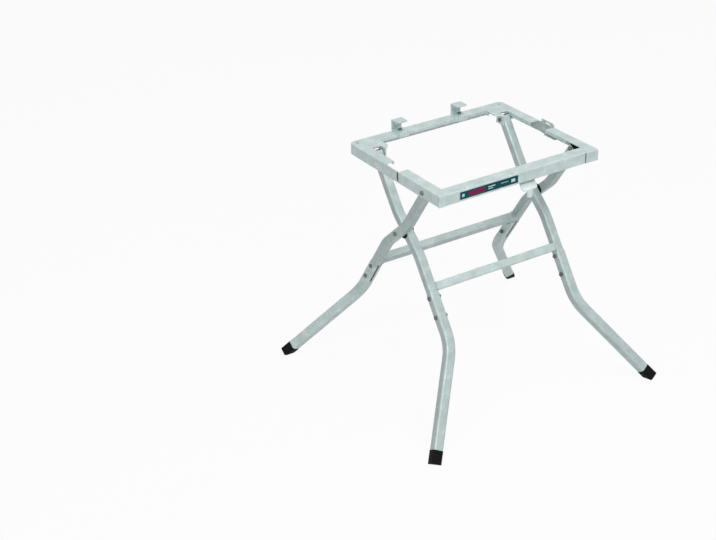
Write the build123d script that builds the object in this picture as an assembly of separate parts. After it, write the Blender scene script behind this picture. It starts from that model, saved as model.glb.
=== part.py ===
from build123d import *
import math
import os

# Folding stand for a portable table saw, in millimetres, standing open.
# X runs along the front rail, Y from front to rear, Z up from the floor.
# The top frame is two halves that slide apart on side plates.
# Two X-crossed leg frames carry it and fold flat as the front half slides out.

# Top frame
frame_width = 452.0
frame_front_y = -188.0
frame_rear_y = 190.0
top_height = 600.0
rail_height = 27.0
sheet = 2.0
side_rail_width = 27.0
front_rail_depth = 31.0
rear_rail_depth = 30.0
rail_lip_height = 8.0
rail_lip_sheet = 1.8
rear_flange_front_y = 33.0
rear_web_front_y = -17.5
front_web_rear_y = -24.5
front_lip_gap = 18.0
rear_corner_radius = 14.0
fold_radius = 1.8
wrap_radius = 1.3
wrap_tab_sheet = 1.5
left_wrap_tab = 15.0
right_wrap_tab = 36.0

# Tubes of the leg frames
tube = 22.0
tube_wall = 1.6
tube_corner = 3.5
leg_gap = 1.2
pivot_y = 121.0
pivot_drop = 16.0
scissor_drop = 169.0
foot_y = 314.0
crossing_slope = 41.5
crossing_upper_run = 49.5
crossing_lower_run = 65.4
bend_radius = 120.0
tube_end_past_pivot = 7.0
crossbar_size = 20.5
crossbar_run = 84.0
upper_tube_run = 160.0
knee_run = 225.0
knee_radius = 125.0
inner_foot_x = 329.0
outer_foot_x = 364.5
lower_leg_start_run = 97.0
lower_leg_wall = 1.2
lower_leg_fit = 0.15
leg_slit_length = 70.0
leg_slit_width = 6.0
plug_fit = 0.3

# Slide plates between the two halves
slide_plate_sheet = 1.6
slide_plate_height = 22.0
slide_plate_rear_y = 100.0
slide_plate_front_gap = 3.0
slide_arm_height = 9.0
slide_fit = 0.3
rivet_radius = 4.0
rivet_head = 0.9
rivet_rear_y = 84.0
rivet_front_y = 9.0

# Bolts and nuts
pivot_bolt_radius = 3.0
leg_bolt_radius = 3.0
hook_bolt_radius = 3.0
hole_clearance = 0.2
thread_clearance = 0.05
hex_sides = 6
head_share = 1.75
head_height_share = 1.1
nut_height_share = 1.6
boss_wall = 3.0
spacer_radius = 17.0
first_bolt_run = 107.0
second_bolt_run = 154.0

# Foot caps and tube end caps
foot_wall = 0.7
foot_length = 20.0
foot_past_tube = 4.0
cap_head = 2.5
cap_bevel_share = 0.6

# Rear corner gussets
gusset_sheet = 3.0
gusset_rail_length = 41.0
gusset_side_length = 58.0
gusset_knee_length = 38.0
gusset_corner_round = 6.0
gusset_hole_radius = 4.5
gusset_hole_inset = 15.0
gusset_ear_gap = 0.8
gusset_ear_sheet = 2.4
gusset_ear_reach = 15.0
gusset_notch_front = 5.0
gusset_notch_depth = 11.0
gusset_lip_height = 12.0
gusset_lip_length = 10.0

# Rear hooks
hook_spacing = 176.0
hook_width = 28.0
hook_sheet = 3.0
hook_height = 28.0
hook_arm = 30.0
hook_base_overhang = 3.0
hook_toe = 9.0

# Front latch
latch_x = 26.0
latch_width = 43.0
latch_sheet = 3.0
latch_rod_radius = 4.0
latch_rod_inset = 14.0
latch_rod_drop = 20.0
latch_arm_length = 12.0
latch_paddle_reach = 16.0
latch_paddle_drop = 18.0
latch_tongue_width = 14.0
latch_tongue_length = 19.0
latch_corner = 7.0
hub_wall = 2.4
cam_width = 8.0
cam_length = 8.5
cam_fit = 0.35
hanger_spacing = 240.0
hanger_width = 16.0
hanger_sheet = 3.0

# Label, slide stop plate and slide guides
label_length = 161.0
label_height = 18.0
label_thick = 0.5
label_inset = 56.0
clip_rear_y = 24.0
clip_front_gap = 1.0
clip_sheet = 2.0
clip_rise = 7.0
clip_slot_length = 16.0
clip_slot_height = 4.0
clip_corner = 4.0
clip_lip_length = 41.0
clip_lip_lead = 11.5
clip_lip_reach = 6.0
mouth_guide_length = 14.0
mouth_guide_wall = 1.6

cut_over = 5.0
tiny = 0.01
floor_block = 90.0

# Places that follow from the sizes above
half_width = frame_width / 2
pivot_height = top_height - pivot_drop
scissor_height = top_height - scissor_drop
rail_bottom = top_height - rail_height
web_inner = half_width - sheet
flange_inner = half_width - side_rail_width
plate_outer = web_inner - slide_fit
plate_inner = plate_outer - slide_plate_sheet
outer_leg_outer = plate_inner - slide_fit
outer_leg_x = outer_leg_outer - tube / 2
outer_leg_inner = outer_leg_outer - tube
inner_leg_outer = outer_leg_inner - leg_gap
inner_leg_x = inner_leg_outer - tube / 2
inner_leg_inner = inner_leg_outer - tube
slope_cos = math.cos(math.radians(crossing_slope))
slope_sin = math.sin(math.radians(crossing_slope))
upper_bend_y = crossing_upper_run * slope_cos
upper_bend_z = scissor_height + crossing_upper_run * slope_sin
lower_bend_y = crossing_lower_run * slope_cos
lower_bend_z = scissor_height - crossing_lower_run * slope_sin
lower_run = math.hypot(foot_y - lower_bend_y, lower_bend_z)
lower_cos = (foot_y - lower_bend_y) / lower_run
lower_sin = lower_bend_z / lower_run
lower_tube = tube + 2 * (lower_leg_fit + lower_leg_wall)
lower_corner = tube_corner + lower_leg_fit + lower_leg_wall
upper_run = math.hypot(pivot_y - upper_bend_y, pivot_height - upper_bend_z)
upper_cos = (pivot_y - upper_bend_y) / upper_run
upper_sin = (pivot_height - upper_bend_z) / upper_run
rod_y = frame_front_y + latch_rod_inset
rod_z = top_height - latch_rod_drop
arm_bottom = top_height - slide_fit - sheet - slide_arm_height


def block(x0, x1, y0, y1, z0, z1):
    """A box between two corners."""
    middle = Pos((x0 + x1) / 2, (y0 + y1) / 2, (z0 + z1) / 2)
    return middle * Box(abs(x1 - x0), abs(y1 - y0), abs(z1 - z0))


def rod_x(x0, x1, y, z, radius):
    """A round bar along X."""
    return Pos((x0 + x1) / 2, y, z) * Rot(0, 90, 0) * Cylinder(radius, abs(x1 - x0))


def rod_z_axis(x, y, z0, z1, radius):
    """A round bar along Z."""
    return Pos(x, y, (z0 + z1) / 2) * Cylinder(radius, abs(z1 - z0))


def hex_x(x0, x1, y, z, across_corners):
    """A hexagonal bar along X."""
    section = Plane((min(x0, x1), y, z), x_dir=(0, 1, 0), z_dir=(1, 0, 0))
    return extrude(section * RegularPolygon(across_corners, hex_sides), abs(x1 - x0))


def mirror_x(shape):
    """The same shape on the other side of the stand."""
    return mirror(shape, about=Plane.YZ)


def mirror_y(shape):
    """The same shape turned from the front of the stand to the rear."""
    return mirror(shape, about=Plane.XZ)


def place(shape, side):
    """Shapes are drawn on the right; side -1 gives the left one."""
    return shape if side > 0 else mirror_x(shape)


def put_out(name, shape):
    """Write one node."""
    export_step(shape, "parts/" + name + ".step")


def pair(name, shape):
    """Write the left and the right one of a piece."""
    put_out("left_" + name, place(shape, -1))
    put_out("right_" + name, place(shape, 1))


def both_sides(name, shape):
    """Write two equal pieces, left and right, as one node."""
    put_out(name, Compound(children=[place(shape, -1), place(shape, 1)]))


# Leg tubes

def along_lower(run, lift=0.0):
    """A point on the straight part below the crossing; lift is square to it, upwards."""
    y = -lower_bend_y - run * lower_cos - lift * lower_sin
    z = lower_bend_z - run * lower_sin + lift * lower_cos
    return (y, z)


def square_section(plane, size, corner):
    """A square tube's outline with rounded corners."""
    return plane * RectangleRounded(size, size, corner)


def upper_tube_solid(size, corner, start_extra, end_run):
    """The dog-legged tube from past its top pivot to a point below the crossing."""
    top = (pivot_y + start_extra * upper_cos, pivot_height + start_extra * upper_sin)
    end_y, end_z = along_lower(end_run)
    points = [
        (0, top[0], top[1]),
        (0, upper_bend_y, upper_bend_z),
        (0, -lower_bend_y, lower_bend_z),
        (0, end_y, end_z),
    ]
    path = FilletPolyline(*points, radius=bend_radius)
    section_plane = Plane(points[0], x_dir=(1, 0, 0), z_dir=(0, -upper_cos, -upper_sin))
    return sweep(square_section(section_plane, size, corner), path=path)


def lower_frame_plane(x):
    """The plane of one leg frame below the crossing, origin on the tube's middle line."""
    origin = (x, -lower_bend_y, lower_bend_z)
    return Plane(origin, x_dir=(1, 0, 0), z_dir=(0, -lower_sin, lower_cos))


def bolt_hole(run, radius, x):
    """A hole across the tube at a run below the lower bend."""
    y, z = along_lower(run)
    return rod_x(x - tube, x + tube, y, z, radius)


def upper_tube(x, pivot_hole_radius):
    """One upper leg tube, drawn as one of the inner pair on the right."""
    outer = upper_tube_solid(tube, tube_corner, tube_end_past_pivot, upper_tube_run)
    bore_size = tube - 2 * tube_wall
    bore_corner = tube_corner - tube_wall / 2
    bore_end = upper_tube_run + cut_over
    bore = upper_tube_solid(bore_size, bore_corner, tube_end_past_pivot + cut_over, bore_end)
    shape = Pos(x, 0, 0) * (outer - bore)
    shape -= rod_x(x - tube, x + tube, pivot_y, pivot_height, pivot_hole_radius)
    shape -= rod_x(x - tube, x + tube, 0, scissor_height, pivot_hole_radius)
    for run in (first_bolt_run, second_bolt_run):
        shape -= bolt_hole(run, leg_bolt_radius + hole_clearance, x)
    return shape - leg_slit(x)


def leg_slit(x):
    """The slit along the lower face where the lower leg clamps round the upper tube."""
    slit_middle = lower_leg_start_run + leg_slit_length / 2
    slit_plane = lower_frame_plane(x) * Pos(0, -slit_middle, -lower_tube / 2)
    return slit_plane * Box(leg_slit_width, leg_slit_length + cut_over, lower_tube / 2)


def lower_path(x, foot_x, start_run, end_extra):
    """The lower leg's middle line: straight, then bent outwards at the knee."""
    knee_y, knee_z = along_lower(knee_run)
    start_y, start_z = along_lower(start_run)
    foot_run = lower_run + end_extra
    foot_out = x + (foot_x - x) * (foot_run - knee_run) / (lower_run - knee_run)
    foot_y_end, foot_z_end = along_lower(foot_run)
    points = [(x, start_y, start_z), (x, knee_y, knee_z), (foot_out, foot_y_end, foot_z_end)]
    return FilletPolyline(*points, radius=knee_radius)


def lower_sweep(x, foot_x, start_run, end_extra, size, corner):
    """A square bar along the lower leg's middle line."""
    start_y, start_z = along_lower(start_run)
    section_plane = Plane((x, start_y, start_z), x_dir=(1, 0, 0), z_dir=(0, -lower_cos, -lower_sin))
    path = lower_path(x, foot_x, start_run, end_extra)
    return sweep(square_section(section_plane, size, corner), path=path)


def lower_leg(x, foot_x):
    """The bent lower leg; its slit upper end takes the end of the upper tube."""
    tube_stop = -foot_rise(x, foot_x)
    outer = lower_sweep(x, foot_x, lower_leg_start_run, tube_stop, lower_tube, lower_corner)
    bore_size = tube + 2 * lower_leg_fit
    bore_corner = tube_corner + lower_leg_fit
    bore = lower_sweep(x, foot_x, lower_leg_start_run - cut_over, cut_over, bore_size, bore_corner)
    shape = outer - bore
    for run in (first_bolt_run, second_bolt_run):
        shape -= bolt_hole(run, leg_bolt_radius + hole_clearance, x)
    return shape - leg_slit(x)


def foot_direction(x, foot_x):
    """The unit direction of the splayed part, towards the floor."""
    out = (foot_x - x) / (lower_run - knee_run)
    length = math.hypot(1, out)
    return (out / length, -lower_cos / length, -lower_sin / length)


def foot_rise(x, foot_x):
    """How far short of the floor line the tube stops, measured along the frame's plane."""
    return (lower_tube / 2 + foot_past_tube) * foot_splay_cos(x, foot_x)


def foot_splay_cos(x, foot_x):
    """The cosine of the knee's bend."""
    out = (foot_x - x) / (lower_run - knee_run)
    return 1 / math.hypot(1, out)


def foot_cap(x, foot_x):
    """The rubber foot: a boot over the tube's end, cut flat where it stands."""
    d = foot_direction(x, foot_x)
    splay_cos = foot_splay_cos(x, foot_x)
    end_run = lower_run - foot_rise(x, foot_x)
    end_y, end_z = along_lower(end_run)
    end_x = x + (foot_x - x) * (end_run - knee_run) / (lower_run - knee_run)
    side = (splay_cos, -d[0] * -lower_cos, -d[0] * -lower_sin)
    tube_end = Plane((end_x, end_y, end_z), x_dir=side, z_dir=d)
    boot_size = lower_tube + 2 * foot_wall
    boot_round = lower_corner + foot_wall
    sole = tube_end.offset(-(foot_length - foot_past_tube))
    boot_height = foot_length + lower_tube / 2
    boot = extrude(sole * RectangleRounded(boot_size, boot_size, boot_round), boot_height)
    tube_outline = RectangleRounded(lower_tube, lower_tube, lower_corner)
    inside = extrude(sole * tube_outline, foot_length - foot_past_tube)
    floor_cut = block(
        foot_x - floor_block, foot_x + floor_block,
        -foot_y - floor_block, -foot_y + floor_block,
        -floor_block, 0,
    )
    return boot - inside - floor_cut


def crossbar(inner_x):
    """The square bar welded between the two upper tubes of one leg frame."""
    y, z = along_lower(crossbar_run)
    start = Plane((-inner_x, y, z), x_dir=(0, -lower_cos, -lower_sin), z_dir=(1, 0, 0))
    bar = extrude(square_section(start, crossbar_size, tube_corner), 2 * inner_x)
    bore_size = crossbar_size - 2 * tube_wall
    bore = extrude(start * Rectangle(bore_size, bore_size), 2 * inner_x)
    return bar - bore


def tube_end_cap(x):
    """The plastic cap that closes the top end of a leg tube."""
    end = (x, pivot_y + tube_end_past_pivot * upper_cos, pivot_height + tube_end_past_pivot * upper_sin)
    end_plane = Plane(end, x_dir=(1, 0, 0), z_dir=(0, upper_cos, upper_sin))
    head = extrude(square_section(end_plane, tube, tube_corner), cap_head)
    end_face = head.faces().sort_by(Axis((0, 0, 0), (0, upper_cos, upper_sin)))[-1]
    head = chamfer(end_face.edges(), cap_head * cap_bevel_share)
    plug_size = tube - 2 * tube_wall - 2 * plug_fit
    plug_depth = tube_end_past_pivot - pivot_bolt_radius - 2 * hole_clearance
    plug = extrude(square_section(end_plane, plug_size, tube_corner - tube_wall / 2), -plug_depth)
    return head + plug


def bolt_x(head_x, end_x, y, z, radius):
    """A hexagon-headed bolt along X; its head stands outside head_x."""
    out = 1 if head_x > end_x else -1
    head = hex_x(head_x, head_x + out * radius * head_height_share, y, z, radius * head_share)
    return head + rod_x(head_x, end_x, y, z, radius)


def nut_x(face_x, y, z, radius, out):
    """A hexagon nut along X that stands against face_x on the side that out gives."""
    end_x = face_x + out * radius * nut_height_share
    body = hex_x(face_x, end_x, y, z, radius * head_share)
    return body - rod_x(face_x, end_x, y, z, radius + thread_clearance)


def leg_bolts(x, turn):
    """The four bolts that hold one frame's two lower legs."""
    bolts = []
    for run in (first_bolt_run, second_bolt_run):
        y, z = along_lower(run)
        seat = lower_tube / 2
        end_x = x - seat - leg_bolt_radius * (nut_height_share + head_height_share / 2)
        bolt = turn(bolt_x(x + seat, end_x, y, z, leg_bolt_radius))
        bolts += [bolt, mirror_x(bolt)]
    return Compound(children=bolts)


def leg_nuts(x, turn):
    """The nuts of those bolts, on the inner sides."""
    nuts = []
    for run in (first_bolt_run, second_bolt_run):
        y, z = along_lower(run)
        seat = lower_tube / 2
        nut = turn(nut_x(x - seat, y, z, leg_bolt_radius, -1))
        nuts += [nut, mirror_x(nut)]
    return Compound(children=nuts)


def leg_frame(name, x, inner_face, foot_x, turn):
    """All pieces of one leg frame; turn is what sets it forwards or rearwards."""
    pair(name + "_upper_tube", turn(upper_tube(x, pivot_bolt_radius + hole_clearance)))
    pair(name + "_lower_leg", turn(lower_leg(x, foot_x)))
    pair(name + "_foot", turn(foot_cap(x, foot_x)))
    pair(name + "_tube_cap", turn(tube_end_cap(x)))
    put_out(name + "_crossbar", turn(crossbar(inner_face)))
    put_out(name + "_leg_bolts", leg_bolts(x, turn))
    put_out(name + "_leg_nuts", leg_nuts(x, turn))


def keep_side(shape):
    """The inner frame stands as it is drawn, feet to the front."""
    return shape


# Pivots

def scissor_bolt():
    """The bolt at the crossing of two leg tubes, head outside."""
    end_x = inner_leg_inner - pivot_bolt_radius * (nut_height_share + head_height_share / 2)
    return bolt_x(outer_leg_outer, end_x, 0, scissor_height, pivot_bolt_radius)


def scissor_nut():
    """Its nut, inside the inner tube."""
    return nut_x(inner_leg_inner, 0, scissor_height, pivot_bolt_radius, -1)


def scissor_spacer():
    """The plastic disc between the two tubes at the crossing."""
    fit = slide_fit / 2
    disc = rod_x(inner_leg_outer, outer_leg_inner - fit, 0, scissor_height, spacer_radius)
    bore = pivot_bolt_radius + thread_clearance
    return disc - rod_x(inner_leg_inner, outer_leg_outer, 0, scissor_height, bore)


def rear_pivot_bolt():
    """The bolt through the gusset's ear and the inner leg tube, into the boss on the web."""
    ear_inner = inner_leg_inner - gusset_ear_gap - gusset_ear_sheet
    return bolt_x(ear_inner, web_inner - sheet, pivot_y, pivot_height, pivot_bolt_radius)


def rear_pivot_boss():
    """The threaded boss welded inside the rear rail's web, clear of the leg tube."""
    start = inner_leg_outer + slide_fit
    outer = rod_x(start, web_inner, pivot_y, pivot_height, pivot_bolt_radius + boss_wall)
    return outer - rod_x(start, web_inner, pivot_y, pivot_height, pivot_bolt_radius + thread_clearance)


def front_pivot_bolt():
    """The bolt through the front half's web and the outer leg tube."""
    end_x = outer_leg_inner - pivot_bolt_radius * (nut_height_share + head_height_share / 2)
    return bolt_x(half_width, end_x, -pivot_y, pivot_height, pivot_bolt_radius)


def front_pivot_nut():
    """Its nut, on the tube's inner side."""
    return nut_x(outer_leg_inner - slide_fit, -pivot_y, pivot_height, pivot_bolt_radius, -1)


# Rear half of the top frame

def side_flange(y0, y1):
    """The flat top of a side rail."""
    return block(flange_inner, half_width, y0, y1, top_height - sheet, top_height)


def side_lip(y0, y1):
    """The short lip that turns down along a side rail's inner edge."""
    lip_bottom = top_height - rail_lip_height
    return block(flange_inner, flange_inner + rail_lip_sheet, y0, y1, lip_bottom, top_height)


def round_outer_fold(rail):
    """Round the fold along a rail's outer top edge."""
    outer = []
    for edge in rail.edges().group_by(Axis.Z)[-1]:
        middle = edge.center()
        along_side = middle.X > half_width - tiny
        along_rear = middle.Y > frame_rear_y - tiny
        round_corner = edge.geom_type == GeomType.CIRCLE
        if along_side or along_rear or round_corner:
            outer.append(edge)
    return fillet(outer, fold_radius)


def rear_side_rail():
    """One side rail of the rear half, folded from sheet, round at the rear corner."""
    rail = side_flange(rear_flange_front_y, frame_rear_y)
    rail += side_lip(rear_flange_front_y, frame_rear_y - sheet)
    rail += block(web_inner, half_width, rear_web_front_y, frame_rear_y, rail_bottom, top_height)
    rail += block(flange_inner, half_width, frame_rear_y - sheet, frame_rear_y, rail_bottom, top_height)
    corner_box = block(
        half_width - rear_corner_radius, half_width + cut_over,
        frame_rear_y - rear_corner_radius, frame_rear_y + cut_over,
        rail_bottom - cut_over, top_height + cut_over,
    )
    round_x = half_width - rear_corner_radius
    round_y = frame_rear_y - rear_corner_radius
    corner_post = rod_z_axis(round_x, round_y, rail_bottom, top_height, rear_corner_radius)
    hollow = rod_z_axis(round_x, round_y, rail_bottom, top_height - sheet, rear_corner_radius - sheet)
    quarter = (corner_post - hollow) & corner_box
    rail = round_outer_fold((rail - corner_box) + quarter)
    hole_x = half_width - gusset_hole_inset
    hole_y = frame_rear_y - gusset_hole_inset
    rail -= rod_z_axis(hole_x, hole_y, top_height - cut_over, top_height + cut_over, gusset_hole_radius)
    for y in (rivet_rear_y, rivet_front_y):
        rail -= rod_x(web_inner - sheet, half_width + sheet, y, rivet_height(), rivet_radius / 2)
    return rail


def rivet_height():
    """The slide plate's middle height."""
    return top_height - sheet - slide_fit - slide_plate_height / 2


def rear_rail():
    """The rear rail, a folded angle with a short inner lip, between the two side rails."""
    inner_y = frame_rear_y - rear_rail_depth
    rail = block(-flange_inner, flange_inner, frame_rear_y - sheet, frame_rear_y, rail_bottom, top_height)
    rail += block(-flange_inner, flange_inner, inner_y, frame_rear_y, top_height - sheet, top_height)
    lip_end = flange_inner - gusset_rail_length
    lip_bottom = top_height - rail_lip_height
    rail += block(-lip_end, lip_end, inner_y, inner_y + rail_lip_sheet, lip_bottom, top_height)
    rail = round_outer_fold(rail)
    hole_y = frame_rear_y - rear_rail_depth / 2
    for side in (-1, 1):
        x = side * hook_spacing / 2
        bore = hook_bolt_radius + thread_clearance
        rail -= rod_z_axis(x, hole_y, top_height - cut_over, top_height + cut_over, bore)
    return rail


def gusset():
    """The corner plate with a turned-down lip and the ear that holds the leg's pivot bolt."""
    rail_y = frame_rear_y - rear_rail_depth
    inner_x = flange_inner - gusset_rail_length
    front_y = rail_y - gusset_side_length
    ear_outer = inner_leg_inner - gusset_ear_gap
    ear_inner = ear_outer - gusset_ear_sheet
    outline = [
        (flange_inner, rail_y),
        (inner_x, rail_y),
        (inner_x, rail_y - gusset_knee_length),
        (ear_inner, pivot_y - gusset_ear_reach),
        (ear_outer, pivot_y - gusset_ear_reach),
        (flange_inner, front_y),
    ]
    sheet_plane = Plane.XY.offset(top_height - gusset_sheet)
    plate = extrude(sheet_plane * make_face(Polyline(*outline, close=True)), gusset_sheet)
    knee_point = (inner_x, rail_y - gusset_knee_length, top_height)
    knee = plate.edges().filter_by(Axis.Z).sort_by_distance(knee_point)
    plate = fillet(knee[0], gusset_corner_round)
    notch_rear = pivot_y - gusset_notch_front + gusset_notch_depth
    plate -= block(
        ear_outer, flange_inner + cut_over,
        front_y - cut_over, notch_rear,
        top_height - gusset_sheet - cut_over, top_height + cut_over,
    )
    ear = block(
        ear_inner, ear_outer,
        pivot_y - gusset_ear_reach, pivot_y + gusset_ear_reach,
        rail_bottom, top_height,
    )
    lip = block(
        inner_x, inner_x + gusset_ear_sheet,
        rail_y - gusset_lip_length, rail_y,
        top_height - gusset_lip_height, top_height,
    )
    shape = plate + ear + lip
    bore = pivot_bolt_radius + thread_clearance
    return shape - rod_x(ear_inner - cut_over, ear_outer + cut_over, pivot_y, pivot_height, bore)


def hook(x):
    """A C-shaped hook on the rear rail, open towards the front."""
    half = hook_width / 2
    rear = frame_rear_y + hook_base_overhang
    front = frame_rear_y - rear_rail_depth - hook_sheet
    base = block(x - half, x + half, front, rear, top_height, top_height + hook_sheet)
    wall = block(x - half, x + half, rear - hook_sheet, rear, top_height, top_height + hook_height)
    arm_z = top_height + hook_height
    arm = block(x - half, x + half, rear - hook_arm, rear, arm_z - hook_sheet, arm_z)
    toe_bottom = top_height - hook_toe
    toe = block(x - half, x + half, front, front + hook_sheet, toe_bottom, top_height + hook_sheet)
    shape = base + wall + arm + toe
    tip = shape.edges().filter_by(Axis.Z).sort_by_distance((x, rear - hook_arm, arm_z))[:2]
    shape = fillet(tip, hook_sheet)
    back = shape.edges().filter_by(Axis.X).sort_by_distance((x, rear, arm_z))[0]
    shape = fillet(back, hook_sheet)
    hole_y = frame_rear_y - rear_rail_depth / 2
    hole_top = top_height + hook_sheet + cut_over
    bore = hook_bolt_radius + thread_clearance
    return shape - rod_z_axis(x, hole_y, top_height - cut_over, hole_top, bore)


def hook_bolt(x):
    """The bolt that holds a hook down on the rear rail."""
    y = frame_rear_y - rear_rail_depth / 2
    seat = top_height + hook_sheet
    head_plane = Plane((x, y, seat))
    section = RegularPolygon(hook_bolt_radius * head_share, hex_sides)
    head = extrude(head_plane * section, hook_bolt_radius * head_height_share)
    end = top_height - sheet - hook_bolt_radius * (nut_height_share + head_height_share / 2)
    return head + rod_z_axis(x, y, end, seat, hook_bolt_radius)


def hook_nut(x):
    """Its nut, under the rear rail's top."""
    y = frame_rear_y - rear_rail_depth / 2
    seat = top_height - sheet
    height = hook_bolt_radius * nut_height_share
    nut_plane = Plane((x, y, seat - height))
    body = extrude(nut_plane * RegularPolygon(hook_bolt_radius * head_share, hex_sides), height)
    return body - rod_z_axis(x, y, seat - height, seat, hook_bolt_radius + thread_clearance)


def slide_plate():
    """The flat plate that guides the front half, cut away below in front of the pivot bolt."""
    top = top_height - sheet - slide_fit
    front_y = frame_front_y + sheet + slide_plate_front_gap
    step_y = -pivot_y + pivot_bolt_radius + slide_fit
    plate = block(plate_inner, plate_outer, step_y, slide_plate_rear_y, top - slide_plate_height, top)
    plate += block(plate_inner, plate_outer, front_y, step_y, arm_bottom, top)
    for y in (rivet_rear_y, rivet_front_y):
        plate -= rod_x(plate_inner - sheet, plate_outer + sheet, y, rivet_height(), rivet_radius / 2)
    return plate


def slide_rivets():
    """The rivets that hold a slide plate to the rear rail's web, with a washer between."""
    solids = []
    for y in (rivet_rear_y, rivet_front_y):
        shank = rod_x(plate_inner, half_width, y, rivet_height(), rivet_radius / 2 - thread_clearance)
        outer_head = rod_x(half_width, half_width + rivet_head, y, rivet_height(), rivet_radius)
        inner_head = rod_x(plate_inner - rivet_head, plate_inner, y, rivet_height(), rivet_radius)
        shim = rod_x(plate_outer, web_inner, y, rivet_height(), rivet_radius)
        rivet = shank + outer_head + inner_head + shim
        solids += [rivet, mirror_x(rivet)]
    return Compound(children=solids)


def guide_clip():
    """The slotted clip outside the right rail, with a lip under both halves' webs."""
    front_y = front_web_rear_y + clip_front_gap
    top = top_height + clip_rise
    low = rail_bottom - slide_fit - clip_sheet
    clip = block(half_width, half_width + clip_sheet, front_y, clip_rear_y, low, top)
    lip_front = front_y - clip_lip_lead
    clip += block(
        half_width - clip_lip_reach, half_width + clip_sheet,
        lip_front, lip_front + clip_lip_length,
        low, low + clip_sheet,
    )
    slot_y = (front_y + clip_rear_y) / 2
    clip -= block(
        half_width - cut_over, half_width + clip_sheet + cut_over,
        slot_y - clip_slot_length / 2, slot_y + clip_slot_length / 2,
        top_height - clip_slot_height / 2, top_height + clip_slot_height / 2,
    )
    clip = fillet(clip.edges().filter_by(Axis.X).group_by(Axis.Z)[-1], clip_corner)
    hole = rivet_radius + hole_clearance
    return clip - rod_x(half_width, half_width + clip_sheet, rivet_front_y, rivet_height(), hole)


# Front half of the top frame

def front_side_rail(side):
    """One side rail of the front half; its front end wraps over the front rail's face."""
    tab = right_wrap_tab if side > 0 else left_wrap_tab
    rail = side_flange(frame_front_y + front_rail_depth, front_web_rear_y)
    rail += block(web_inner, half_width, frame_front_y, front_web_rear_y, rail_bottom, top_height)
    rail += block(
        half_width - tab, half_width,
        frame_front_y - wrap_tab_sheet, frame_front_y,
        rail_bottom, top_height,
    )
    rail += side_lip(-pivot_y + front_lip_gap, front_web_rear_y)
    rail = round_outer_fold(rail)
    corner_point = (half_width, frame_front_y - wrap_tab_sheet, rail_bottom)
    corner = rail.edges().filter_by(Axis.Z).sort_by_distance(corner_point)[0]
    rail = fillet(corner, wrap_radius)
    bore = pivot_bolt_radius + thread_clearance
    rail -= rod_x(web_inner - sheet, half_width + sheet, -pivot_y, pivot_height, bore)
    return place(rail, side)


def front_rail():
    """The front rail, a channel open below, between the webs of the two side rails."""
    rear_y = frame_front_y + front_rail_depth
    rail = block(-web_inner, web_inner, frame_front_y, frame_front_y + sheet, rail_bottom, top_height)
    rail += block(-web_inner, web_inner, frame_front_y, rear_y, top_height - sheet, top_height)
    lip_bottom = top_height - rail_lip_height
    rail += block(-flange_inner, flange_inner, rear_y - sheet, rear_y, lip_bottom, top_height)
    front_edge = rail.edges().filter_by(Axis.X).sort_by_distance((0, frame_front_y, top_height))[0]
    return fillet(front_edge, fold_radius)


def label():
    """The bare label on the front rail's face."""
    start = -half_width + label_inset
    front = frame_front_y - label_thick
    middle = top_height - rail_height / 2
    plate = block(
        start, start + label_length,
        front, frame_front_y,
        middle - label_height / 2, middle + label_height / 2,
    )
    return fillet(plate.edges().filter_by(Axis.Y), label_thick)


def mouth_guide():
    """The plastic guide in the mouth of a front side rail that the slide plate runs through."""
    rear_y = (rear_web_front_y + front_web_rear_y) / 2
    front_y = front_web_rear_y - mouth_guide_length
    inner_x = plate_inner - slide_fit - 2 * mouth_guide_wall
    top = top_height - sheet
    bottom = rail_bottom + hole_clearance
    collar = block(inner_x, half_width - hole_clearance, front_web_rear_y, rear_y, bottom, top)
    collar += block(inner_x, web_inner, front_y, front_web_rear_y, bottom, top)
    plate_top = top_height - sheet - slide_fit
    plate_low = plate_top - slide_plate_height
    passage = block(
        plate_inner - slide_fit / 2, plate_outer + slide_fit / 2,
        front_y - cut_over, rear_y + cut_over,
        plate_low - slide_fit, top + cut_over,
    )
    return collar - passage


# Latch under the front rail

def latch_rod():
    """The rod inside the front rail that ties the lever to the two cams."""
    end = plate_outer
    return rod_x(-end, end, rod_y, rod_z, latch_rod_radius)


def lock_cam():
    """The cam on the rod's end; its nose presses up on the slide plate's lower edge."""
    inner = plate_outer - cam_length
    reach = arm_bottom - cam_fit - rod_z
    hub = rod_x(inner, plate_outer, rod_y, rod_z, latch_rod_radius + hub_wall)
    nose = block(inner, plate_outer, rod_y - cam_width / 2, rod_y + cam_width / 2, rod_z, rod_z + reach)
    nose &= rod_x(inner, plate_outer, rod_y, rod_z, reach)
    return hub + nose - rod_x(inner, plate_outer, rod_y, rod_z, latch_rod_radius + thread_clearance)


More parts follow.
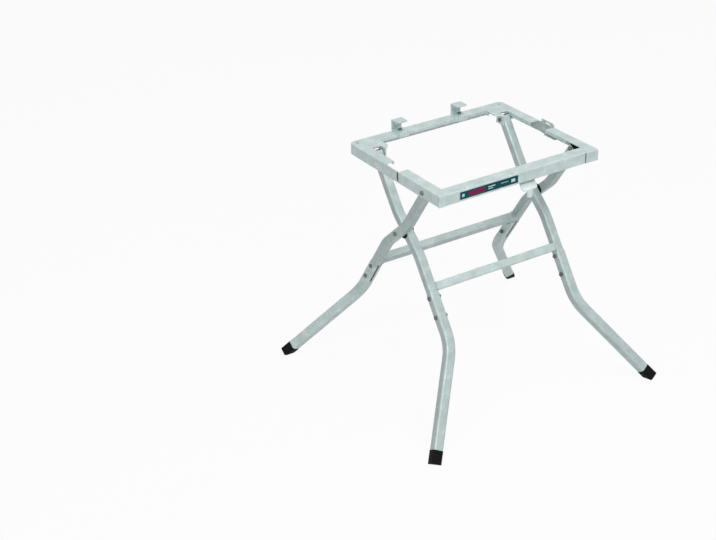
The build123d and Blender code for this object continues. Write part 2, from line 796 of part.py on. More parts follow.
def latch_lever():
    """The pressed lever: a hub on the rod, an arm down, a wide paddle and a narrow tongue."""
    half = latch_width / 2
    hub = rod_x(latch_x - half, latch_x + half, rod_y, rod_z, latch_rod_radius + hub_wall)
    hub -= rod_x(latch_x - half, latch_x + half, rod_y, rod_z, latch_rod_radius + thread_clearance)
    arm_foot = rod_z - latch_arm_length
    arm_half = latch_tongue_width / 2
    arm = block(
        latch_x - arm_half, latch_x + arm_half,
        rod_y - latch_sheet / 2, rod_y + latch_sheet / 2,
        arm_foot, rod_z - latch_rod_radius - hub_wall / 2,
    )
    pitch = math.atan2(latch_paddle_drop, latch_paddle_reach)
    paddle_length = math.hypot(latch_paddle_drop, latch_paddle_reach)
    face_out = (0, -math.sin(pitch), math.cos(pitch))
    paddle_plane = Plane((latch_x, rod_y, arm_foot), x_dir=(1, 0, 0), z_dir=face_out)
    sheet_box = Box(latch_width, paddle_length, latch_sheet)
    paddle = paddle_plane * Pos(0, -paddle_length / 2, 0) * sheet_box
    paddle = fillet(paddle.edges().filter_by(Axis((0, 0, 0), face_out)), latch_corner)
    tongue_top = arm_foot - latch_paddle_drop
    tongue_y = rod_y - latch_paddle_reach
    tongue = block(
        latch_x - arm_half, latch_x + arm_half,
        tongue_y, tongue_y + latch_sheet,
        tongue_top - latch_tongue_length, tongue_top + latch_sheet / 2,
    )
    tongue = fillet(tongue.edges().filter_by(Axis.Y), latch_sheet)
    return hub + arm + paddle + tongue


def rod_hanger(x):
    """A sheet bearing that hangs the rod from the front rail's top."""
    half = hanger_sheet / 2
    top = top_height - sheet
    low = rod_z - latch_rod_radius - hub_wall
    web = block(x - half, x + half, rod_y - hanger_width / 2, rod_y + hanger_width / 2, low, top)
    web = fillet(web.edges().filter_by(Axis.X).group_by(Axis.Z)[0], hub_wall)
    return web - rod_x(x - half, x + half, rod_y, rod_z, latch_rod_radius + hole_clearance)


os.makedirs("parts", exist_ok=True)

# Rear half
put_out("rear_rail", rear_rail())
pair("rear_side_rail", rear_side_rail())
pair("rear_gusset", gusset())
put_out("left_hook", hook(-hook_spacing / 2))
put_out("right_hook", hook(hook_spacing / 2))
put_out("hook_bolts", Compound(children=[hook_bolt(-hook_spacing / 2), hook_bolt(hook_spacing / 2)]))
put_out("hook_nuts", Compound(children=[hook_nut(-hook_spacing / 2), hook_nut(hook_spacing / 2)]))
pair("slide_plate", slide_plate())
put_out("slide_rivets", slide_rivets())
put_out("guide_clip", guide_clip())
both_sides("rear_pivot_bolts", rear_pivot_bolt())
both_sides("rear_pivot_bosses", rear_pivot_boss())

# Front half
put_out("front_rail", front_rail())
put_out("left_front_side_rail", front_side_rail(-1))
put_out("right_front_side_rail", front_side_rail(1))
put_out("label", label())
pair("slide_guide", mouth_guide())
both_sides("front_pivot_bolts", front_pivot_bolt())
both_sides("front_pivot_nuts", front_pivot_nut())
both_sides("latch_rod_hangers", rod_hanger(hanger_spacing / 2))

# Latch
put_out("latch_lever", latch_lever())
put_out("latch_rod", latch_rod())
pair("lock_cam", lock_cam())

# Leg frames
leg_frame("inner", inner_leg_x, inner_leg_inner, inner_foot_x, keep_side)
leg_frame("outer", outer_leg_x, outer_leg_inner, outer_foot_x, mirror_y)
both_sides("scissor_bolts", scissor_bolt())
both_sides("scissor_nuts", scissor_nut())
both_sides("scissor_spacers", scissor_spacer())
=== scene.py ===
"""The looks of a folding steel stand for a portable table saw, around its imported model.

Metres, +X along the front rail, +Y to the rear, +Z up, the floor at zero.
"""

import math

import bmesh
import bpy
from mathutils import Matrix, Vector


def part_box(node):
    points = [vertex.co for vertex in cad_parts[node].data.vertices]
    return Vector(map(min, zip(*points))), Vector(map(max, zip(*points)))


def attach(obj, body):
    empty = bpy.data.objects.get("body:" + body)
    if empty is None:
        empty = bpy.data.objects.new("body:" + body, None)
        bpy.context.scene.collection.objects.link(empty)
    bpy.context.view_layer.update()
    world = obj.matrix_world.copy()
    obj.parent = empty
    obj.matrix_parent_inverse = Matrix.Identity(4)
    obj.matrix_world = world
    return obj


MM = 0.001

# Camera, as the photograph was taken
CAMERA_AZIMUTH = math.radians(-31.138)
CAMERA_ELEVATION = math.radians(28.101)
CAMERA_ROLL = math.radians(-1.920)
CAMERA_PLACE = Vector((-1.85562, -2.53093, 1.94662))
FOCAL_PIXELS = 1435.99
PICTURE_WIDTH = 716
SENSOR_WIDTH = 36.0
CAMERA_REACH = 100.0

# Studio
FLOOR_RADIUS = 9.0
FLOOR_SIDES = 96
FLOOR_GREY = 0.86
FLOOR_GLOW_SHARE = 0.94
SKY_GREY = 0.05
TOP_LAMP = dict(place=(0.5, -0.6, 4.6), size=2.6, watts=66.0)
FRONT_LAMP = dict(place=(-0.2, -3.4, 4.0), size=2.4, watts=98.0)
SIDE_LAMP = dict(place=(-4.0, -2.2, 2.9), size=2.2, watts=72.0)
LAMP_AIM = Vector((0.0, 0.0, 0.35))

# Finishes, in linear colour
RAIL_SILVER = (0.70, 0.84, 0.825)
TUBE_SILVER = (0.53, 0.64, 0.63)
# The tube paint made lighter as painted light, for tubes that are lit brighter
TUBE_SILVER_WITH_PAINTED_LIGHT = (0.63, 0.76, 0.745)
WELD_GREY = (0.44, 0.49, 0.475)
# Bare steel at scuffs and worn edges; on the enamel's edges it is also a painted highlight along the folds
BARE_STEEL = (0.90, 0.93, 0.93)
BRIGHT_ZINC = (0.74, 0.84, 0.83)
DULL_ZINC = (0.46, 0.54, 0.52)
PIVOT_ZINC = (0.20, 0.23, 0.225)
BOLT_GREY = (0.15, 0.17, 0.17)
BOLT_WORN = (0.46, 0.48, 0.48)
GUIDE_GREY = (0.40, 0.46, 0.445)
# Painted shade on the slides' outward faces and front ends
PAINTED_SLIDE_SHADE = (0.020, 0.024, 0.023)
# Grime and painted shade in the seam at the right front corner
SEAM_GRIME_AND_SHADE = (0.10, 0.115, 0.11)
DUST = (0.46, 0.45, 0.42)
RUBBER_BLACK = (0.003, 0.0033, 0.0033)
PLASTIC_BLACK = (0.008, 0.009, 0.009)
LABEL_TEAL = (0.003, 0.075, 0.095)
LABEL_ROSE = (0.24, 0.010, 0.085)
LABEL_PALE = (0.62, 0.74, 0.76)

# How much smoother a scuff and a worn edge are than the paint
SCUFF_SHINE = 0.10
WORN_SHINE = 0.22

# Where each mask starts, and where it is full
EDGE_RANGE = (0.995, 0.86)
EDGE_BREAKUP_RANGE = (0.42, 0.62)
SCUFF_LINE_RANGE = (0.60, 0.72)
SCUFF_PATCH_RANGE = (0.45, 0.62)
FACES_UP_RANGE = (0.2, 1.0)
DUST_SPECK_RANGE = (0.40, 0.75)
FACES_FORWARD_RANGE = (-0.6, -0.9)
FACES_SIDEWAYS_RANGE = (0.6, 0.9)
FACES_OUTWARDS_RANGE = (0.05, 0.12)
# Where the slides' painted shade starts and is full, along the rail
SLIDE_SHADE_FRONT_RANGE = (-85 * MM, -105 * MM)

# Scales of the masks' own noise
SCUFF_PATCH_SCALE = 9.0
DUST_SPECK_SCALE = 60.0

# The seam at the right front corner, darkened by grime and painted shade
SEAM_WIDTH = 2.4 * MM
SEAM_SOFT = 0.25 * MM

# The label's panel, and its pale marks: start and end along it, low and high across it, as shares
LABEL_SOFT_SHARE = 0.0015
LABEL_PANEL = (0.15, 0.42, -0.30, 0.30)
LABEL_MARKS = (
    (0.035, 0.075, -0.20, 0.20),
    (0.48, 0.60, 0.06, 0.20),
    (0.48, 0.56, -0.20, -0.08),
    (0.70, 0.83, 0.04, 0.12),
    (0.88, 0.95, -0.22, 0.22),
)

# Welds round the ends of the crossbars, which lie along the lower legs
LOWER_LEG_DROP = 387.7 * MM
LOWER_LEG_RUN = 265.0 * MM
LOWER_LEG_PITCH = math.atan2(LOWER_LEG_DROP, LOWER_LEG_RUN)
CROSSBAR_SIZE = 20.5 * MM
CROSSBAR_ROUND = 3.5 * MM
WELD_RADIUS = 1.5 * MM
WELD_RIPPLE = 0.22
WELD_RIPPLE_MIDDLE = 0.6
WELD_RIPPLE_LENGTH = 2.6 * MM
WELD_DRIFT = 0.12
WELD_DRIFT_LENGTH = 7.3 * MM
WELD_STEP = 0.55 * MM
WELD_SIDES = 8
CORNER_STEPS = 6


# Shader node helpers

def new_group(name, inputs, outputs):
    """A shader node group with named sockets; gives the group and its two end nodes."""
    group = bpy.data.node_groups.new(name, "ShaderNodeTree")
    for label, kind, value in inputs:
        socket = group.interface.new_socket(label, in_out="INPUT", socket_type=kind)
        if value is not None:
            socket.default_value = value
    for label, kind in outputs:
        group.interface.new_socket(label, in_out="OUTPUT", socket_type=kind)
    start = group.nodes.new("NodeGroupInput")
    end = group.nodes.new("NodeGroupOutput")
    return group, start, end


def add(tree, kind, **settings):
    """One node with its settings."""
    node = tree.nodes.new(kind)
    for key, value in settings.items():
        setattr(node, key, value)
    return node


def wire(tree, source, target):
    """Joins an output to an input; a plain value is set on the input instead."""
    if isinstance(source, bpy.types.NodeSocket):
        tree.links.new(source, target)
    else:
        target.default_value = source


def maths(tree, operation, a, b=0.0, clamp=False):
    """A Math node's result."""
    node = add(tree, "ShaderNodeMath", operation=operation, use_clamp=clamp)
    wire(tree, a, node.inputs[0])
    wire(tree, b, node.inputs[1])
    return node.outputs[0]


def mapped(tree, value, low, high, to_low=0.0, to_high=1.0):
    """A value stretched from one range to another and clamped."""
    node = add(tree, "ShaderNodeMapRange", clamp=True)
    wire(tree, value, node.inputs["Value"])
    node.inputs["From Min"].default_value = low
    node.inputs["From Max"].default_value = high
    wire(tree, to_low, node.inputs["To Min"])
    wire(tree, to_high, node.inputs["To Max"])
    return node.outputs["Result"]


def between(tree, value, low, high, soft):
    """One where a coordinate lies between two places, with soft borders."""
    rise = mapped(tree, value, low - soft, low + soft)
    fall = mapped(tree, value, high + soft, high - soft)
    return maths(tree, "MULTIPLY", rise, fall)


def blended(tree, factor, a, b):
    """Two colours mixed."""
    node = add(tree, "ShaderNodeMix", data_type="RGBA")
    wire(tree, factor, node.inputs["Factor"])
    wire(tree, a, node.inputs["A"])
    wire(tree, b, node.inputs["B"])
    return node.outputs["Result"]


def rgba(colour):
    """A colour with full cover."""
    return (*colour, 1.0)


def shaded(colour, share):
    """A colour made darker or lighter by a share, with full cover."""
    return rgba([min(1.0, part * share) for part in colour])


def place_of(tree):
    """The point on the object, in metres."""
    return add(tree, "ShaderNodeTexCoord").outputs["Object"]


def split(tree, vector):
    """The three parts of a vector, by name."""
    node = add(tree, "ShaderNodeSeparateXYZ")
    wire(tree, vector, node.inputs[0])
    return node.outputs


def noise(tree, where, scale, detail=3.0, roughness=0.5):
    """A Noise texture's value."""
    node = add(tree, "ShaderNodeTexNoise")
    wire(tree, where, node.inputs["Vector"])
    wire(tree, scale, node.inputs["Scale"])
    node.inputs["Detail"].default_value = detail
    node.inputs["Roughness"].default_value = roughness
    return node.outputs["Fac"]


# Effects that several finishes share

def peel_group():
    """The fine orange peel of a sprayed or moulded skin, over softly rounded edges."""
    group, start, end = new_group(
        "skin peel",
        [
            ("Scale", "NodeSocketFloat", 900.0),
            ("Strength", "NodeSocketFloat", 0.1),
            ("Depth", "NodeSocketFloat", 0.0002),
            ("Edge Radius", "NodeSocketFloat", 0.0006),
        ],
        [("Normal", "NodeSocketVector")],
    )
    fine = noise(group, place_of(group), start.outputs["Scale"], detail=2.0)
    rounded = add(group, "ShaderNodeBevel", samples=6)
    wire(group, start.outputs["Edge Radius"], rounded.inputs["Radius"])
    bump = add(group, "ShaderNodeBump")
    wire(group, start.outputs["Strength"], bump.inputs["Strength"])
    wire(group, start.outputs["Depth"], bump.inputs["Distance"])
    wire(group, fine, bump.inputs["Height"])
    wire(group, rounded.outputs["Normal"], bump.inputs["Normal"])
    wire(group, bump.outputs["Normal"], end.inputs["Normal"])
    return group


def mottle_group():
    """Slow, cloudy variation over a surface."""
    group, start, end = new_group(
        "mottle",
        [("Scale", "NodeSocketFloat", 14.0), ("Contrast", "NodeSocketFloat", 1.0)],
        [("Value", "NodeSocketFloat")],
    )
    wide = noise(group, place_of(group), start.outputs["Scale"], detail=5.0, roughness=0.6)
    centred = maths(group, "SUBTRACT", wide, 0.5)
    spread = maths(group, "MULTIPLY", centred, start.outputs["Contrast"])
    wire(group, maths(group, "ADD", spread, 0.5, clamp=True), end.inputs["Value"])
    return group


def edge_group():
    """A mask of bright edges, worn and in part a painted highlight, from the difference between the flat
    and the rounded normal.
    """
    group, start, end = new_group(
        "edge wear and painted highlight",
        [
            ("Radius", "NodeSocketFloat", 0.0012),
            ("Amount", "NodeSocketFloat", 0.5),
            ("Breakup", "NodeSocketFloat", 120.0),
        ],
        [("Mask", "NodeSocketFloat")],
    )
    bevel = add(group, "ShaderNodeBevel", samples=4)
    wire(group, start.outputs["Radius"], bevel.inputs["Radius"])
    geometry = add(group, "ShaderNodeNewGeometry")
    dot = add(group, "ShaderNodeVectorMath", operation="DOT_PRODUCT")
    wire(group, bevel.outputs["Normal"], dot.inputs[0])
    wire(group, geometry.outputs["True Normal"], dot.inputs[1])
    edge = mapped(group, dot.outputs["Value"], *EDGE_RANGE)
    chips = noise(group, place_of(group), start.outputs["Breakup"], detail=4.0, roughness=0.7)
    broken = mapped(group, chips, *EDGE_BREAKUP_RANGE)
    worn = maths(group, "MULTIPLY", edge, broken)
    wire(group, maths(group, "MULTIPLY", worn, start.outputs["Amount"], clamp=True), end.inputs["Mask"])
    return group


def scuff_group():
    """A mask of thin scuffs that run along one direction."""
    group, start, end = new_group(
        "scuffs",
        [("Scale", "NodeSocketVector", (40.0, 900.0, 900.0)), ("Amount", "NodeSocketFloat", 0.3)],
        [("Mask", "NodeSocketFloat")],
    )
    stretch = add(group, "ShaderNodeVectorMath", operation="MULTIPLY")
    wire(group, place_of(group), stretch.inputs[0])
    wire(group, start.outputs["Scale"], stretch.inputs[1])
    lines = noise(group, stretch.outputs["Vector"], 1.0, detail=2.0)
    patches = noise(group, place_of(group), SCUFF_PATCH_SCALE, detail=2.0)
    thin = mapped(group, lines, *SCUFF_LINE_RANGE)
    gated = maths(group, "MULTIPLY", thin, mapped(group, patches, *SCUFF_PATCH_RANGE))
    wire(group, maths(group, "MULTIPLY", gated, start.outputs["Amount"], clamp=True), end.inputs["Mask"])
    return group


def settled_group():
    """A mask of dust that settles on faces that look up."""
    group, start, end = new_group(
        "settled dust",
        [("Amount", "NodeSocketFloat", 0.2)],
        [("Mask", "NodeSocketFloat")],
    )
    facing = split(group, add(group, "ShaderNodeNewGeometry").outputs["Normal"])
    up = mapped(group, facing["Z"], *FACES_UP_RANGE)
    grains = noise(group, place_of(group), DUST_SPECK_SCALE, detail=6.0, roughness=0.75)
    specks = mapped(group, grains, *DUST_SPECK_RANGE)
    lying = maths(group, "MULTIPLY", up, specks)
    wire(group, maths(group, "MULTIPLY", lying, start.outputs["Amount"], clamp=True), end.inputs["Mask"])
    return group


GROUPS = dict(
    peel=peel_group(),
    mottle=mottle_group(),
    edge=edge_group(),
    scuff=scuff_group(),
    dust=settled_group(),
)


def effect(tree, name, **values):
    """Places a shared effect in a material with its own values; gives its output."""
    node = add(tree, "ShaderNodeGroup")
    node.node_tree = GROUPS[name]
    for label, value in values.items():
        wire(tree, value, node.inputs[label])
    return node.outputs[0]


def new_material(name, metallic, specular=0.5):
    """A material with a Principled shader; gives the material, its tree and the shader."""
    material = bpy.data.materials.new(name)
    material.use_nodes = True
    tree = material.node_tree
    shader = tree.nodes["Principled BSDF"]
    shader.inputs["Metallic"].default_value = metallic
    shader.inputs["Specular IOR Level"].default_value = specular
    return material, tree, shader


def clouded(tree, factor, colour, dark, light):
    """A colour that drifts between a darker and a lighter share of itself."""
    return blended(tree, factor, shaded(colour, dark), shaded(colour, light))


def set_roughness(tree, shader, factor, low, high):
    """Roughness between two values, as the factor goes."""
    wire(tree, mapped(tree, factor, 0.0, 1.0, low, high), shader.inputs["Roughness"])


def set_skin(tree, shader, **values):
    """The fine grain of the surface and its rounded edges."""
    wire(tree, effect(tree, "peel", **values), shader.inputs["Normal"])


# Finishes

def front_seam(tree, end_x):
    """A mask of grime and painted shade on faces that look forward, beside a seam at the given place."""
    place = split(tree, place_of(tree))
    facing = split(tree, add(tree, "ShaderNodeNewGeometry").outputs["Normal"])
    forward = mapped(tree, facing["Y"], *FACES_FORWARD_RANGE)
    line = between(tree, place["X"], end_x - SEAM_WIDTH, end_x + SEAM_WIDTH, SEAM_SOFT)
    return maths(tree, "MULTIPLY", line, forward)


def silver_paint(name, tint, metallic, peel, seam_x=None):
    """Silver-grey stove enamel over steel, clouded and flecked, worn bright on its edges, the bright edges
    partly a painted highlight along the folds.
    """
    material, tree, shader = new_material(name, metallic)
    cloud = effect(tree, "mottle", Scale=38.0, Contrast=2.8)
    fleck = effect(tree, "mottle", Scale=150.0, Contrast=2.0)
    worn = effect(tree, "edge", Radius=0.0024, Amount=0.95, Breakup=90.0)
    scuffs = effect(tree, "scuff", Scale=(260.0, 90.0, 1100.0), Amount=0.35)
    dust = effect(tree, "dust", Amount=0.08)
    coat = clouded(tree, cloud, tint, dark=0.74, light=1.12)
    coat = blended(tree, fleck, shaded(tint, 0.80), coat)
    coat = blended(tree, scuffs, coat, rgba(BARE_STEEL))
    # Bright edges: partly worn paint, partly a painted highlight along the folds
    coat = blended(tree, worn, coat, rgba(BARE_STEEL))
    coat = blended(tree, dust, coat, rgba(DUST))
    # Grime and painted shade along the seam beside the wrapped tab
    if seam_x is not None:
        coat = blended(tree, front_seam(tree, seam_x), coat, rgba(SEAM_GRIME_AND_SHADE))
    wire(tree, coat, shader.inputs["Base Color"])
    rough = mapped(tree, fleck, 0.0, 1.0, to_low=0.54, to_high=0.40)
    rough = maths(tree, "SUBTRACT", rough, maths(tree, "MULTIPLY", scuffs, SCUFF_SHINE))
    rough = maths(tree, "SUBTRACT", rough, maths(tree, "MULTIPLY", worn, WORN_SHINE))
    wire(tree, rough, shader.inputs["Roughness"])
    set_skin(tree, shader, Scale=1300.0, Strength=peel, Depth=0.00012, **{"Edge Radius": 0.0011})
    return material


def zinc_sheet(name, colour, metallic, rough_low, rough_high):
    """Zinc-plated sheet with fine rolling lines and cloudy plating."""
    material, tree, shader = new_material(name, metallic)
    cloud = effect(tree, "mottle", Scale=40.0, Contrast=1.6)
    scuffs = effect(tree, "scuff", Scale=(60.0, 1400.0, 1400.0), Amount=0.5)
    tint = clouded(tree, cloud, colour, dark=0.88, light=1.08)
    tint = blended(tree, scuffs, tint, shaded(colour, 1.35))
    wire(tree, tint, shader.inputs["Base Color"])
    set_roughness(tree, shader, cloud, rough_low, rough_high)
    set_skin(tree, shader, Scale=700.0, Strength=0.06, Depth=0.0001)
    return material


def slide_with_painted_shade(name, colour, metallic):
    """A sliding piece with dark painted shade on its outward faces and at the front end."""
    material, tree, shader = new_material(name, metallic)
    cloud = effect(tree, "mottle", Scale=60.0, Contrast=1.8)
    scuffs = effect(tree, "scuff", Scale=(60.0, 50.0, 1400.0), Amount=0.4)
    facing = split(tree, add(tree, "ShaderNodeNewGeometry").outputs["Normal"])
    place = split(tree, place_of(tree))
    outwards = mapped(tree, maths(tree, "MULTIPLY", facing["X"], place["X"]), *FACES_OUTWARDS_RANGE)
    sideways = mapped(tree, maths(tree, "ABSOLUTE", facing["X"]), *FACES_SIDEWAYS_RANGE)
    at_front = mapped(tree, place["Y"], *SLIDE_SHADE_FRONT_RANGE)
    front_end = maths(tree, "MULTIPLY", sideways, at_front)
    # Painted shade: dark where the piece faces outwards or sits at the front end
    painted_shade_mask = maths(tree, "MAXIMUM", outwards, front_end)
    tint = clouded(tree, cloud, colour, dark=0.85, light=1.08)
    shade_tint = clouded(tree, cloud, PAINTED_SLIDE_SHADE, dark=0.7, light=1.4)
    tint = blended(tree, painted_shade_mask, tint, shade_tint)
    wire(tree, blended(tree, scuffs, tint, rgba(colour)), shader.inputs["Base Color"])
    set_roughness(tree, shader, cloud, low=0.36, high=0.55)
    set_skin(tree, shader, Scale=700.0, Strength=0.06, Depth=0.0001)
    return material


def plated_bolts(name, colour, worn_colour):
    """Dull plating of bolts, nuts and rivets, brighter where a spanner rubbed."""
    material, tree, shader = new_material(name, metallic=0.6)
    cloud = effect(tree, "mottle", Scale=180.0, Contrast=1.5)
    worn = effect(tree, "edge", Radius=0.0008, Amount=0.8, Breakup=400.0)
    tint = blended(tree, cloud, shaded(colour, 0.8), rgba(colour))
    tint = blended(tree, worn, tint, rgba(worn_colour))
    wire(tree, tint, shader.inputs["Base Color"])
    set_roughness(tree, shader, cloud, low=0.38, high=0.55)
    set_skin(tree, shader, Scale=2200.0, Strength=0.15, Depth=0.0001)
    return material


def black_moulding(name, colour, rough_low, rough_high, peel):
    """Black rubber or plastic with a fine moulded grain and a little dust."""
    material, tree, shader = new_material(name, metallic=0.0, specular=0.10)
    cloud = effect(tree, "mottle", Scale=90.0, Contrast=1.3)
    scuffs = effect(tree, "scuff", Scale=(500.0, 500.0, 90.0), Amount=0.025)
    dust = effect(tree, "dust", Amount=0.008)
    body = clouded(tree, cloud, colour, dark=0.75, light=1.35)
    body = blended(tree, scuffs, body, rgba(DUST))
    body = blended(tree, dust, body, rgba(DUST))
    wire(tree, body, shader.inputs["Base Color"])
    set_roughness(tree, shader, cloud, rough_low, rough_high)
    set_skin(tree, shader, Scale=1600.0, Strength=peel, Depth=0.0002)
    return material


def label_film():
    """The bare label: a dark teal film with a rose panel and pale marks, with no lettering."""
    low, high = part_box("label")
    length = high.x - low.x
    middle = (low.z + high.z) / 2
    height = high.z - low.z
    soft = length * LABEL_SOFT_SHARE
    material, tree, shader = new_material("label_film", metallic=0.0, specular=0.12)
    place = split(tree, place_of(tree))
    along, up = place["X"], place["Z"]
    cloud = effect(tree, "mottle", Scale=70.0, Contrast=1.2)
    film = clouded(tree, cloud, LABEL_TEAL, dark=0.8, light=1.2)
    fields = [(LABEL_PANEL, LABEL_ROSE)] + [(mark, LABEL_PALE) for mark in LABEL_MARKS]
    for (start_share, end_share, low_share, high_share), colour in fields:
        side = between(tree, along, low.x + length * start_share, low.x + length * end_share, soft)
        rise = between(tree, up, middle + height * low_share, middle + height * high_share, soft)
        film = blended(tree, maths(tree, "MULTIPLY", side, rise), film, rgba(colour))
    wire(tree, film, shader.inputs["Base Color"])
    set_roughness(tree, shader, cloud, low=0.28, high=0.38)
    set_skin(tree, shader, Scale=1200.0, Strength=0.04, Depth=0.0001)
    return material


def dress(material, *names):
    """Gives CAD nodes a finish."""
    for name in names:
        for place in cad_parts[name].material_slots:
            place.material = material


def both(*names):
    """The left and the right node of each name."""
    return [side + "_" + name for name in names for side in ("left", "right")]


# Welds

def square_ring(centre, along, across, size, corner):
    """Points round a square with rounded corners, evenly spaced along its line."""
    straight = size / 2 - corner
    corners = []
    for turn, (sign_along, sign_across) in enumerate(((1, 1), (-1, 1), (-1, -1), (1, -1))):
        middle = centre + along * (sign_along * straight) + across * (sign_across * straight)
        for step in range(CORNER_STEPS + 1):
            angle = math.pi / 2 * (turn + step / CORNER_STEPS)
            reach = along * math.cos(angle) + across * math.sin(angle)
            corners.append(middle + reach * corner)
    points = []
    for first, second in zip(corners, corners[1:] + corners[:1]):
        pieces = max(1, round((second - first).length / WELD_STEP))
        points += [first.lerp(second, step / pieces) for step in range(pieces)]
    return points


def weld_bead(shape, points, bar_direction):
    """One closed, rippled weld bead along the points, added to a mesh under making."""
    rings = []
    run = 0.0
    count = len(points)
    for number, point in enumerate(points):
        ahead = points[(number + 1) % count]
        behind = points[number - 1]
        forward = (ahead - behind).normalized()
        side = forward.cross(bar_direction).normalized()
        ripple = abs(math.sin(math.pi * run / WELD_RIPPLE_LENGTH))
        drift = WELD_DRIFT * math.sin(run / WELD_DRIFT_LENGTH)
        radius = WELD_RADIUS * (1.0 + WELD_RIPPLE * (ripple - WELD_RIPPLE_MIDDLE) + drift)
        ring = []
        for corner in range(WELD_SIDES):
            angle = 2 * math.pi * corner / WELD_SIDES
            reach = side * math.cos(angle) + bar_direction * math.sin(angle)
            ring.append(shape.verts.new(point + reach * radius))
        rings.append(ring)
        run += (ahead - point).length
    for number in range(count):
        ring, following = rings[number], rings[(number + 1) % count]
        for corner in range(WELD_SIDES):
            beside = (corner + 1) % WELD_SIDES
            shape.faces.new((ring[corner], ring[beside], following[beside], following[corner]))


def crossbar_welds(name, crossbar, body, pitch):
    """The welds round both ends of a crossbar, where it meets the leg tubes."""
    low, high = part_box(crossbar)
    along = Vector((0.0, math.cos(pitch), math.sin(pitch)))
    across = Vector((0.0, -math.sin(pitch), math.cos(pitch)))
    shape = bmesh.new()
    for end_x in (low.x, high.x):
        centre = Vector((end_x, (low.y + high.y) / 2, (low.z + high.z) / 2))
        ring = square_ring(centre, along, across, CROSSBAR_SIZE, CROSSBAR_ROUND)
        weld_bead(shape, ring, Vector((1.0, 0.0, 0.0)))
    bmesh.ops.recalc_face_normals(shape, faces=shape.faces)
    for face in shape.faces:
        face.smooth = True
    mesh = bpy.data.meshes.new(name)
    shape.to_mesh(mesh)
    shape.free()
    mesh.materials.append(weld_finish)
    piece = bpy.data.objects.new(name, mesh)
    bpy.context.scene.collection.objects.link(piece)
    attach(piece, body)


# Studio

def set_camera():
    """The camera at the photograph's place and angle, level but for its small roll."""
    azimuth, elevation = CAMERA_AZIMUTH, CAMERA_ELEVATION
    back = Vector((
        math.sin(azimuth) * math.cos(elevation),
        -math.cos(azimuth) * math.cos(elevation),
        math.sin(elevation),
    ))
    right = Vector((math.cos(azimuth), math.sin(azimuth), 0.0))
    up = back.cross(right)
    turned_right = right * math.cos(CAMERA_ROLL) + up * math.sin(CAMERA_ROLL)
    turned_up = up * math.cos(CAMERA_ROLL) - right * math.sin(CAMERA_ROLL)
    data = bpy.data.cameras.new("camera")
    data.sensor_fit = "HORIZONTAL"
    data.sensor_width = SENSOR_WIDTH
    data.lens = FOCAL_PIXELS * SENSOR_WIDTH / PICTURE_WIDTH
    data.clip_end = CAMERA_REACH
    camera = bpy.data.objects.new("camera", data)
    turn = Matrix((turned_right, turned_up, back)).transposed()
    camera.matrix_world = Matrix.Translation(CAMERA_PLACE) @ turn.to_4x4()
    bpy.context.scene.collection.objects.link(camera)
    bpy.context.scene.camera = camera


def set_lamp(name, place, size, watts):
    """A square soft lamp aimed at the stand."""
    data = bpy.data.lights.new(name, "AREA")
    data.shape = "SQUARE"
    data.size = size
    data.energy = watts
    lamp = bpy.data.objects.new(name, data)
    aim = (LAMP_AIM - Vector(place)).to_track_quat("-Z", "Y")
    lamp.matrix_world = Matrix.Translation(Vector(place)) @ aim.to_matrix().to_4x4()
    bpy.context.scene.collection.objects.link(lamp)


def seen_directly(tree):
    """One for camera, glossy and transmission rays."""
    path = add(tree, "ShaderNodeLightPath")
    some = maths(tree, "ADD", path.outputs["Is Camera Ray"], path.outputs["Is Glossy Ray"])
    return maths(tree, "ADD", some, path.outputs["Is Transmission Ray"], clamp=True)


def set_world():
    """White where it is seen, a plain soft grey where it lights the stand."""
    world = bpy.data.worlds.new("studio")
    world.use_nodes = True
    tree = world.node_tree
    background = tree.nodes["Background"]
    background.inputs["Color"].default_value = rgba((1.0, 1.0, 1.0))
    strength = mapped(tree, seen_directly(tree), 0.0, 1.0, SKY_GREY, 1.0)
    wire(tree, strength, background.inputs["Strength"])
    bpy.context.scene.world = world


def set_floor():
    """A pale round floor that glows nearly white where it is seen and keeps a trace of the shadow."""
    mesh = bpy.data.meshes.new("floor")
    shape = bmesh.new()
    bmesh.ops.create_circle(shape, cap_ends=True, segments=FLOOR_SIDES, radius=FLOOR_RADIUS)
    shape.to_mesh(mesh)
    shape.free()
    floor = bpy.data.objects.new("floor", mesh)
    bpy.context.scene.collection.objects.link(floor)
    material = bpy.data.materials.new("pale_floor")
    material.use_nodes = True
    tree = material.node_tree
    tree.nodes.remove(tree.nodes["Principled BSDF"])
    plain = add(tree, "ShaderNodeBsdfDiffuse")
    plain.inputs["Color"].default_value = rgba((FLOOR_GREY, FLOOR_GREY, FLOOR_GREY))
    glow = add(tree, "ShaderNodeEmission")
    glow.inputs["Strength"].default_value = 1.0
    mix = add(tree, "ShaderNodeMixShader")
    wire(tree, maths(tree, "MULTIPLY", seen_directly(tree), FLOOR_GLOW_SHARE), mix.inputs["Fac"])
    wire(tree, plain.outputs["BSDF"], mix.inputs[1])
    wire(tree, glow.outputs["Emission"], mix.inputs[2])
    wire(tree, mix.outputs["Shader"], tree.nodes["Material Output"].inputs["Surface"])
    mesh.materials.append(material)


# The stand

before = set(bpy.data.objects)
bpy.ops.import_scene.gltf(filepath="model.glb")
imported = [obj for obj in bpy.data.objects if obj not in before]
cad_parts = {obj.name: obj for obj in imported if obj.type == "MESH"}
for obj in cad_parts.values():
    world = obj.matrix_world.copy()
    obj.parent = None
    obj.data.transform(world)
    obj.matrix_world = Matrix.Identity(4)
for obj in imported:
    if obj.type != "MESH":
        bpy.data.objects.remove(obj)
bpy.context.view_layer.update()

set_camera()
set_world()
set_floor()
for lamp_name, lamp in (("top", TOP_LAMP), ("front", FRONT_LAMP), ("side", SIDE_LAMP)):
    set_lamp(lamp_name, **lamp)
bpy.context.scene.view_settings.view_transform = "Standard"

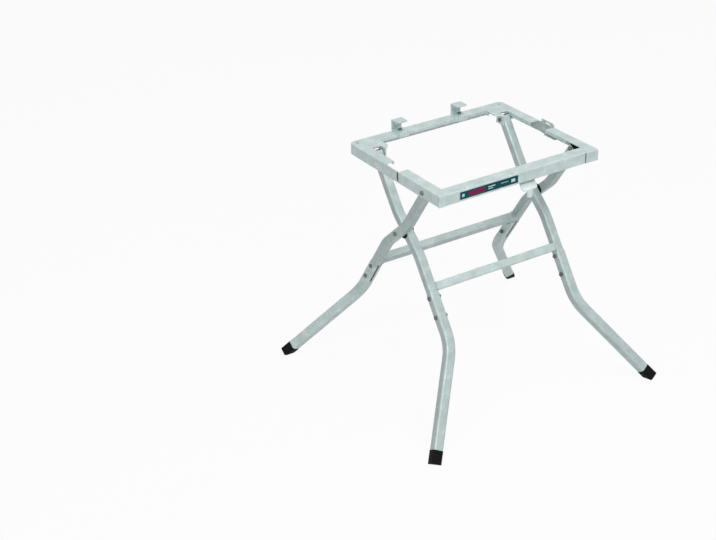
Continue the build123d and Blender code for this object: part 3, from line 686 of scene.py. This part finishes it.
corner_seam_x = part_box("right_front_side_rail")[0].x
rail_paint = silver_paint("silver_rail_enamel", RAIL_SILVER, metallic=0.25, peel=0.10)
front_rail_paint = silver_paint(
    "silver_front_rail_enamel", RAIL_SILVER, metallic=0.25, peel=0.10, seam_x=corner_seam_x,
)
tube_paint = silver_paint("silver_tube_enamel", TUBE_SILVER, metallic=0.25, peel=0.08)
tube_paint_with_painted_light = silver_paint("silver_tube_enamel_with_painted_light", TUBE_SILVER_WITH_PAINTED_LIGHT, metallic=0.25, peel=0.08)
weld_finish = silver_paint("painted_weld", WELD_GREY, metallic=0.35, peel=0.25)
bolt_finish = plated_bolts("dark_zinc_bolts", BOLT_GREY, BOLT_WORN)
pivot_finish = plated_bolts("grey_zinc_pivots", PIVOT_ZINC, BOLT_WORN)
lever_finish = zinc_sheet("bright_zinc_lever", BRIGHT_ZINC, metallic=0.30, rough_low=0.26, rough_high=0.40)
# Slide plates and guides carry painted shade on their outward faces and front ends
slide_finish = slide_with_painted_shade("zinc_slide_with_painted_shade", DULL_ZINC, metallic=0.3)
guide_finish = slide_with_painted_shade("nylon_guide_with_painted_shade", GUIDE_GREY, metallic=0.0)
rubber = black_moulding("black_rubber", RUBBER_BLACK, rough_low=0.60, rough_high=0.80, peel=0.3)
plastic = black_moulding("black_plastic", PLASTIC_BLACK, rough_low=0.45, rough_high=0.60, peel=0.2)

dress(front_rail_paint, "front_rail")
dress(rail_paint, "rear_rail", "guide_clip", "rear_pivot_bosses", "latch_rod_hangers", "slide_rivets")
dress(rail_paint, *both("front_side_rail", "rear_side_rail", "rear_gusset", "hook"))
dress(tube_paint, "outer_crossbar", *both("inner_upper_tube", "outer_upper_tube", "inner_lower_leg"))
# A lighter copy of the tube paint, as painted light, on the inner crossbar and the outer lower legs
dress(tube_paint_with_painted_light, "inner_crossbar", *both("outer_lower_leg"))
dress(lever_finish, "latch_lever", "latch_rod", *both("lock_cam"))
dress(slide_finish, *both("slide_plate"))
dress(pivot_finish, "hook_bolts", "hook_nuts", "front_pivot_bolts", "front_pivot_nuts")
dress(pivot_finish, "scissor_bolts", "scissor_nuts")
dress(bolt_finish, "rear_pivot_bolts")
dress(bolt_finish, "inner_leg_bolts", "inner_leg_nuts", "outer_leg_bolts", "outer_leg_nuts")
dress(rubber, *both("inner_foot", "outer_foot"))
dress(plastic, "scissor_spacers", *both("inner_tube_cap", "outer_tube_cap"))
dress(guide_finish, *both("slide_guide"))
dress(label_film(), "label")

crossbar_welds("inner_crossbar_welds", "inner_crossbar", "inner_legs", LOWER_LEG_PITCH)
crossbar_welds("outer_crossbar_welds", "outer_crossbar", "outer_legs", -LOWER_LEG_PITCH)
